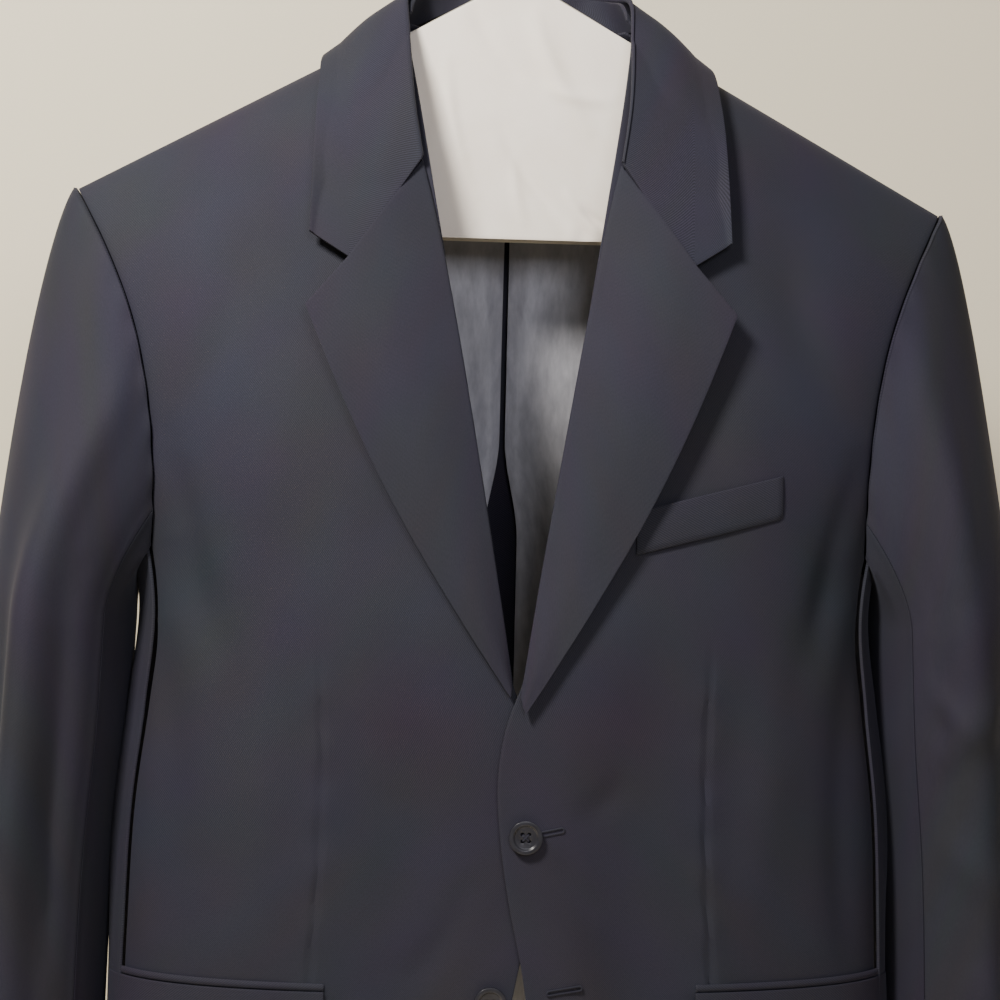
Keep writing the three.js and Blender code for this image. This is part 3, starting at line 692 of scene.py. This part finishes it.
def collar_grid():
    """The fall of the collar, from its fold to its outer edge."""
    w, u = grid_parameters(44, 260)
    s, side = np.abs(2 * u - 1), np.where(u < 0.5, -1, 1)
    fold_x, fold_y, fold_z, edge_x, edge_y, edge_z = collar_lines(s)
    end = smooth(0.8, 1, s) * tent(w, NOTCH_AT)
    bow = 2.2 * np.sin(math.pi * np.minimum(1, 1.25 * w))
    x = fold_x + (edge_x - fold_x) * w + end * NOTCH_PULL_X
    y = fold_y + (edge_y - fold_y) * w
    z = fold_z + (edge_z - fold_z) * w + end * NOTCH_PULL_Z
    out_x, out_y = x, y + np.where(s > 0.6, -30, 0)
    size = np.hypot(out_x, out_y)
    x = x + bow * out_x / size * (1 - smooth(0.75, 1, s))
    y = y + bow * np.where(s < 0.6, out_y / size, -0.5)
    z = z + bow * 0.5 * (1 - smooth(0.8, 1, s))
    return clear_of_body(np.stack([side * x, y, z], axis=-1), 4.5 + 4 * w)


def stand_grid():
    """The upright inner part of the collar, behind the neck."""
    w, u = grid_parameters(14, 150)
    s, side = np.abs(2 * u - 1) * STAND_REACH, np.where(u < 0.5, -1, 1)
    fold_x, fold_y, fold_z, edge_x = collar_lines(s)[:4]
    fold = np.stack([fold_x, fold_y, fold_z], axis=-1)
    foot_x = fold_x + 0.1 * (edge_x - fold_x)
    foot_y = fold_y - 5 * (1 - smooth(0.3, 0.6, s))
    foot_z = np.maximum(NECKLINE_Z + 1.5, shoulder_height(foot_x) + 2) - 25 * np.maximum(s - 0.6, 0)
    inset = -fold * np.array([1, 1, 0])
    inset /= np.linalg.norm(inset, axis=-1, keepdims=True)
    fold = fold + 3 * inset - np.array([0, 0, 0.8])
    points = fold + (np.stack([foot_x, foot_y, foot_z], axis=-1) - fold) * w[..., None]
    points[..., 0] *= side
    return points


fall = collar_grid()
fall_normals = grid_normals(fall, 1)
make_shell("collar_cloth", "collar_fall", rolled(fall, fall_normals, 1.6), 1, 2, wool)
make_shell("collar_stand_cloth", "collar_stand", stand_grid(), -1, 2, wool)
print("collar and its stand made")


# %% Lapels
LAPEL_X, LAPEL_Z, ROLL_TOP_Z = 121, -261.8, -173.6
LAPEL_CORNER_AT = 0.635  # where along the lapel's upper edge the notch begins
UNDERLAP_RISE = 9  # the right lapel ends this much higher than the left


def lapel_grid(side):
    """A lapel, from its roll line to its outer edge."""
    u, v = grid_parameters(56, 150)
    foot = V_BOTTOM + (0 if side > 0 else UNDERLAP_RISE)
    roll_z = ROLL_TOP_Z + (foot + 8 - ROLL_TOP_Z) * v
    roll_x = V_SLOPE * (roll_z - V_BOTTOM) + 4.5 * (1 - v) ** 6
    outer_x = LAPEL_X + (4 - LAPEL_X) * v + 9 * np.sin(math.pi * v)
    outer_z = LAPEL_Z + (foot - 1 - LAPEL_Z) * v
    x = roll_x + (outer_x - roll_x) * u
    z = roll_z + (outer_z - roll_z) * u - 4.6 * tent(u, LAPEL_CORNER_AT) * (1 - v) ** 3
    lift = 2.5 + (9 * np.sin(np.minimum(1, 1.5 * u) * math.pi / 2) + 3 * u) * (1 - 0.75 * v)
    base = front_surface(np.maximum(x, 1), z, side)
    base[..., 0] = x * side
    normals = grid_normals(base, -side)
    points = base + lift[..., None] * normals
    return rolled(points, grid_normals(points, -side), 1.7)


for side, word in SIDES:
    make_shell(f"lapel_cloth_{word}", f"lapel_{word}", lapel_grid(side), -side, 2, wool)
print("lapels made")

# %% [markdown]
# ## Pockets
#
# The breast welt is a folded strip sewn on at a slant. Each hip pocket has a narrow jet above a flap
# with rounded corners; the flap is free below, so its lower edge stands off the front and bows a little.

# %% Pockets
WELT_X, WELT_END_X, WELT_Z, WELT_RISE, WELT_HEIGHT = 66, 152, -397, 22, 25
POCKET_X, POCKET_END_ANGLE, POCKET_Z, JET_HEIGHT, FLAP_DROP = 104, 1.36, -637, 4.5, 54
POCKET_BODY_WIDTH = float(along(BODY, BODY_COLUMNS, "width", POCKET_Z))
POCKET_START = math.asin((POCKET_X / POCKET_BODY_WIDTH) ** (SQUARENESS / 2))
FLAP_ROUNDING, FLAP_GAP = 9, 0.3


def lifted(points, outward, lift):
    """Moves points of a panel out along its normals."""
    return points + np.asarray(lift)[..., None] * grid_normals(points, outward)


def welt_grid():
    """The breast welt."""
    u, v = grid_parameters(60, 20)
    x = WELT_X + (WELT_END_X - WELT_X) * u
    z = WELT_Z + WELT_RISE * u + WELT_HEIGHT * (1 - v)
    base = front_surface(x, z, 1)
    sink = edge_turn(u, v, base, ("left", "right", "bottom"), 0.9, 1.8)
    return lifted(base, -1, 2.6 - sink + 0.5 * np.sin(math.pi * v))


def corner_cut(t, radius):
    """How much a rounded corner takes off the depth, at a share of the width from the end."""
    return radius * (1 - np.sqrt(1 - np.clip(1 - 12 * t, 0, 1) ** 2))


def flap_lift(u, v, side):
    """How far a flap stands off the front: more toward its free edge, in one slow wave."""
    return 2.4 + 1.8 * v + 1.2 * v * np.sin(5.2 * u + side)


def pocket_grid(side, columns, rows, top, drop, lift, rounding=0.0):
    """A strip that lies on the front below a pocket's mouth and runs round its side."""
    u, v = grid_parameters(columns, rows)
    depth = drop - corner_cut(u, rounding) - corner_cut(1 - u, rounding)
    angle = POCKET_START + (POCKET_END_ANGLE - POCKET_START) * u
    base = round_surface(angle, top - depth * v, side)
    return lifted(base, -side, lift(u, v))


make_shell("breast_welt_cloth", "breast_welt", welt_grid(), -1, 1.6, wool)
for side, word in SIDES:
    jet = pocket_grid(side, 90, 6, POCKET_Z, JET_HEIGHT, lambda u, v: 1.2 + 0.9 * np.sin(math.pi * v))
    make_shell(f"pocket_jet_cloth_{word}", f"pocket_jet_{word}", jet, -side, 1.2, wool)
    flap_top = POCKET_Z - JET_HEIGHT - FLAP_GAP
    flap = pocket_grid(
        side, 100, 44, flap_top, FLAP_DROP, lambda u, v: flap_lift(u, v, side), FLAP_ROUNDING)
    make_shell(f"pocket_flap_cloth_{word}", f"pocket_flap_{word}", flap, -side, 2, wool)
print("pockets made")

# %% [markdown]
# ## Lining and paper
#
# The grey lining shows in the open neck. It hangs in two halves with a pleat of ease between
# them that opens downward, and it ripples where it isn't pressed. The cleaner's paper lies folded over
# the hanger's arms; it is stiffer than cloth, so it keeps flat planes with a few sharp diagonal dents.

# %% Lining
LINING_CREASES = ((14, -220, 22, -470, 6, 1.6), (32, -240, 26, -430, 7, -1.8),
                  (48, -220, 60, -560, 9, 2.4), (90, -260, 100, -700, 14, 3.0),
                  (140, -300, 136, -760, 14, -2.6), (20, -560, 36, -800, 10, 2.2))
LINING_GAP, LINING_INSET, LINING_HEM_RISE = 8.6, 19, 18
LINING_SHOULDER_DROP, LINING_NECK_DROP = 26, 28
PLEAT_TOP_Z, PLEAT_OPEN_Z, PLEAT_HALF, PLEAT_EASE = -328, -392, 9, 2.6


def lining_place(u, z):
    """The distance from the centre of a place in the lining, which parts below its pleat."""
    inner = 1.6 + PLEAT_HALF * smooth(PLEAT_TOP_Z, PLEAT_OPEN_Z, z)
    return inner + (outer_edge(z) - LINING_INSET - inner) * u


def lining_grid(side):
    """Half of the back lining."""
    u, v = grid_parameters(70, 130)
    top_z = np.full_like(u, FIRST_GUESS_Z)
    for _ in range(GUESS_ROUNDS):
        shoulder = shoulder_height(lining_place(u, top_z)) - LINING_SHOULDER_DROP
        top_z = np.minimum(shoulder, NECKLINE_Z - LINING_NECK_DROP)
    z = top_z + (HEM_Z + LINING_HEM_RISE - top_z) * v
    x = lining_place(u, z)
    points = np.stack([side * x, depth_at(x, z, True), z], axis=-1)
    ripple = crease_depth(x, z, LINING_CREASES) * (0.9 if side > 0 else 1.1)
    pleat = PLEAT_EASE * np.exp(-(x / PLEAT_HALF) ** 2)
    return lifted(points, -side, LINING_GAP + PLEAT_EASE + ripple - pleat)


for side, word in SIDES:
    half = lining_grid(side)
    make_shell(f"lining_satin_{word}", f"lining_back_{word}", half, -side, 1, lining_satin)
print("lining made")

# %% Paper
HANGER_APEX, HANGER_SLOPE, BAR_Z, PAPER_HALF = -55.5, 0.55, -207, 178
PAPER_LOOSE, PAPER_NECK, PAPER_HANG = 0.8, 6, 5  # above the arms, below the apex, below the bar
CRIMP_PITCH, CRIMP_DEPTH = 2.3, 0.5  # of the pinched lower edge on the wearer's left
PAPER_DENTS = ((-44, -100, -20, -200, 3.5, 1.7), (6, -72, 46, -150, 6, 2.2),
               (-14, -140, 34, -206, 4, -1.8), (28, -180, 54, -212, 3, 1.8),
               (-60, -110, -50, -206, 2.5, 2.0), (38, -192, 62, -206, 2.5, -1.8),
               (-30, -70, 4, -120, 5, -1.6), (12, -120, 60, -128, 4, 1.5), (-2, -160, 6, -206, 3, 1.2))


def paper_grid(face):
    """One leaf of the cover; face is -1 before the hanger and 1 behind it."""
    u, v = grid_parameters(170, 70)
    x = PAPER_HALF * (2 * u - 1)
    top = np.minimum(HANGER_APEX - HANGER_SLOPE * np.abs(x) + PAPER_LOOSE, HANGER_APEX - PAPER_NECK)
    z = top + (BAR_Z - PAPER_HANG - top) * v
    dents = crease_depth(x, z, PAPER_DENTS) * (1 if face < 0 else 0.5)
    crimp = CRIMP_DEPTH * np.sin(x / CRIMP_PITCH) * smooth(-196, -211, z) * smooth(20, 40, x)
    y = face * (3.2 + 5 * np.sin(0.6 * math.pi * v) + np.clip(dents + crimp, -2.4, 3))
    return np.stack([x, y, z], axis=-1)


for word, face in (("front", -1), ("back", 1)):
    leaf = paper_grid(face)
    outward = 1 if grid_normals(leaf, 1)[30, 80, 1] * face > 0 else -1
    make_shell(
        f"paper_leaf_{word}", f"paper_{word}", leaf, outward, 0.5, paper_white)
print("paper made")

# %% [markdown]
# ## Buttons and buttonholes
#
# A suit button is turned from a disc: a rounded rim, a shallow dish, and four holes drilled through.
# Thread crosses between the holes. The buttonhole is a slit edged with a close row of stitches, which
# at this size is a raised oval bead.

# %% Buttons
BUTTON_RADIUS, BUTTON_THICKNESS, BUTTON_STANDS = 9.3, 3.2, 0.8
RIM_WIDTH, DISH_WIDTH, DISH_DEPTH = 2.2, 0.9, 0.9
HOLE_RADIUS, HOLE_OFFSET, DRILL_LENGTH = 1.0, 1.9, 12
THREAD_RADIUS, THREAD_LENGTH, THREAD_STANDS = 0.55, 5.2, 3.4


def surface_frame(x, z, side):
    """A place on a front, in metres, with the direction that faces out of it."""
    step = 1.0
    xs = np.array([[x - step, x + step], [x - step, x + step]])
    zs = np.array([[z + step, z + step], [z - step, z - step]])
    patch = front_surface(np.abs(xs), zs, side)
    patch[..., 0] = xs
    normal = Vector(grid_normals(patch, -1)[0, 0])
    if normal.y > 0:
        normal.negate()
    return Vector(patch.mean(axis=(0, 1))) * MM, normal


def settle(piece, place, normal):
    """Puts a piece made flat at the world's centre onto the cloth, with its place in its mesh."""
    turn = normal.to_track_quat("Z", "Y").to_matrix().to_4x4()
    turn.translation = place
    piece.data.transform(turn)
    piece.data.update()


def make_button(name, node, x, z, side):
    """A four-hole button; its crossed thread is made apart by make_thread."""
    bpy.ops.object.select_all(action="DESELECT")
    bpy.ops.mesh.primitive_cylinder_add(
        vertices=64, radius=BUTTON_RADIUS * MM, depth=BUTTON_THICKNESS * MM)
    disc = bpy.context.object
    disc.name = name
    bpy.ops.object.mode_set(mode="EDIT")
    bpy.ops.mesh.select_mode(type="FACE")
    bpy.ops.mesh.select_all(action="DESELECT")
    bpy.ops.object.mode_set(mode="OBJECT")
    for face in disc.data.polygons:
        face.select = face.normal.z > 0.9
    bpy.ops.object.mode_set(mode="EDIT")
    bpy.ops.mesh.inset(thickness=RIM_WIDTH * MM)
    bpy.ops.mesh.inset(thickness=DISH_WIDTH * MM, depth=-DISH_DEPTH * MM)
    bpy.ops.object.mode_set(mode="OBJECT")
    for i in (-1, 1):
        for j in (-1, 1):
            bpy.ops.object.select_all(action="DESELECT")
            bpy.ops.mesh.primitive_cylinder_add(
                vertices=20, radius=HOLE_RADIUS * MM, depth=DRILL_LENGTH * MM,
                location=(HOLE_OFFSET * i * MM, HOLE_OFFSET * j * MM, 0))
            drill = bpy.context.object
            bpy.ops.object.select_all(action="DESELECT")
            disc.select_set(True)
            bpy.context.view_layer.objects.active = disc
            cut = disc.modifiers.new("hole", "BOOLEAN")
            cut.object = drill
            cut.operation = "DIFFERENCE"
            bpy.ops.object.modifier_apply(modifier="hole")
            bpy.data.objects.remove(drill, do_unlink=True)
    bevel = disc.modifiers.new("rim", "BEVEL")
    bevel.width = 0.55 * MM
    bevel.segments = 3
    bevel.angle_limit = math.radians(40)
    bpy.ops.object.modifier_apply(modifier="rim")
    disc.data.materials.clear()
    disc.data.materials.append(button_resin)
    bpy.ops.object.shade_smooth_by_angle(angle=math.radians(40))
    place, normal = surface_frame(x, z, side)
    settle(disc, place + normal * (BUTTON_STANDS + BUTTON_THICKNESS / 2) * MM, normal)
    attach(disc, "root")
    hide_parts(node)
    return place, normal


def make_thread(name, place, normal):
    """Two bars of thread crossed through a button's holes."""
    bars = []
    for angle in (45, 135):
        bpy.ops.object.select_all(action="DESELECT")
        bpy.ops.mesh.primitive_cylinder_add(
            vertices=12, radius=THREAD_RADIUS * MM, depth=THREAD_LENGTH * MM,
            rotation=(math.pi / 2, 0, math.radians(angle)))
        bar = bpy.context.object
        bpy.ops.object.transform_apply(location=True, rotation=True, scale=True)
        bevel = bar.modifiers.new("ends", "BEVEL")
        bevel.width = 0.3 * MM
        bevel.segments = 2
        bpy.ops.object.modifier_apply(modifier="ends")
        bars.append(bar)
    bpy.ops.object.select_all(action="DESELECT")
    for bar in bars:
        bar.select_set(True)
    bpy.context.view_layer.objects.active = bars[0]
    bpy.ops.object.join()
    thread = bars[0]
    thread.name = name
    thread.data.materials.clear()
    thread.data.materials.append(wool)
    bpy.ops.object.shade_smooth_by_angle(angle=math.radians(40))
    settle(thread, place + normal * THREAD_STANDS * MM, normal)
    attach(thread, "root")


# name, x, z, side of the front that it lies on
BUTTONS = (("top", 5.6, -554, 1), ("bottom", -12, -647, -1))
for word, x, z, side in BUTTONS:
    place, normal = make_button(f"button_{word}", f"button_front_{word}", x, z, side)
    make_thread(f"button_thread_{word}", place, normal)


# %% Buttonholes
BEAD_RADIUS, BEAD_THICKNESS, BEAD_SINK = 1.25, 0.65, 0.75
STITCH_RIDGE, STITCHES = 0.16, 9  # the ridge's share of the bead and its turns in radians a millimetre


def make_buttonhole(name, x, z, length, tilt):
    """A stitched oval bead round a slit, on the wearer's left front."""
    bpy.ops.object.select_all(action="DESELECT")
    bpy.ops.mesh.primitive_torus_add(
        major_segments=72, minor_segments=8, major_radius=BEAD_RADIUS * MM,
        minor_radius=BEAD_THICKNESS * MM)
    bead = bpy.context.object
    bead.name = name
    half = (length / 2 - BEAD_RADIUS - BEAD_THICKNESS) * MM
    for vertex in bead.data.vertices:
        vertex.co.x += half if vertex.co.x > 0 else -half
        ridge = 1 + STITCH_RIDGE * math.sin(vertex.co.x / MM * STITCHES)
        vertex.co.z *= BEAD_SINK * ridge
    place, normal = surface_frame(x, z, 1)
    turn = math.radians(tilt)
    for vertex in bead.data.vertices:
        px, py = vertex.co.x, vertex.co.y
        vertex.co.x = px * math.cos(turn) - py * math.sin(turn)
        vertex.co.y = px * math.sin(turn) + py * math.cos(turn)
    settle(bead, place + normal * 0.25 * MM, normal)
    bead.data.materials.clear()
    bead.data.materials.append(wool)
    bpy.ops.object.shade_smooth_by_angle(angle=math.radians(60))
    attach(bead, "root")


make_buttonhole("buttonhole_top", 17.0, -552, 22, 12)
make_buttonhole("buttonhole_bottom", 29.0, -639, 21, 9)
print("buttons and buttonholes made")

# %% [markdown]
# ## Hanger, floor and backdrop
#
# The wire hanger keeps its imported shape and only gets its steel. A pale floor lies below the hem and a
# pale wall stands behind, far enough away to take a soft shadow. The wall also hides the jacket from a
# camera that stands behind it.

# %% Hanger and stage
for node in ("hanger_hook", "hanger_frame"):
    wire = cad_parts[node]
    wire.data.materials.clear()
    wire.data.materials.append(steel_wire)

FLOOR_Z, BACKDROP_Y, STAGE_SIZE = -1.1, 0.3, 8  # metres
stage_paint = new_material("stage_pale_matt", "#f2e8d0", 0.9)[0]
for name, place, turn in (
        ("floor", (0, 0, FLOOR_Z), (0, 0, 0)), ("backdrop", (0, BACKDROP_Y, 0), (math.pi / 2, 0, 0))):
    bpy.ops.object.select_all(action="DESELECT")
    bpy.ops.mesh.primitive_plane_add(size=STAGE_SIZE, location=place, rotation=turn)
    plane = bpy.context.object
    plane.name = name
    plane.data.materials.append(stage_paint)
print("hanger finished, floor and backdrop placed")

# %% Sizes
for name, (width, length, area) in flat_sizes.items():
    print(f"{name}: flat {width:.3f} by {length:.3f} m, {area:.4f} m2")
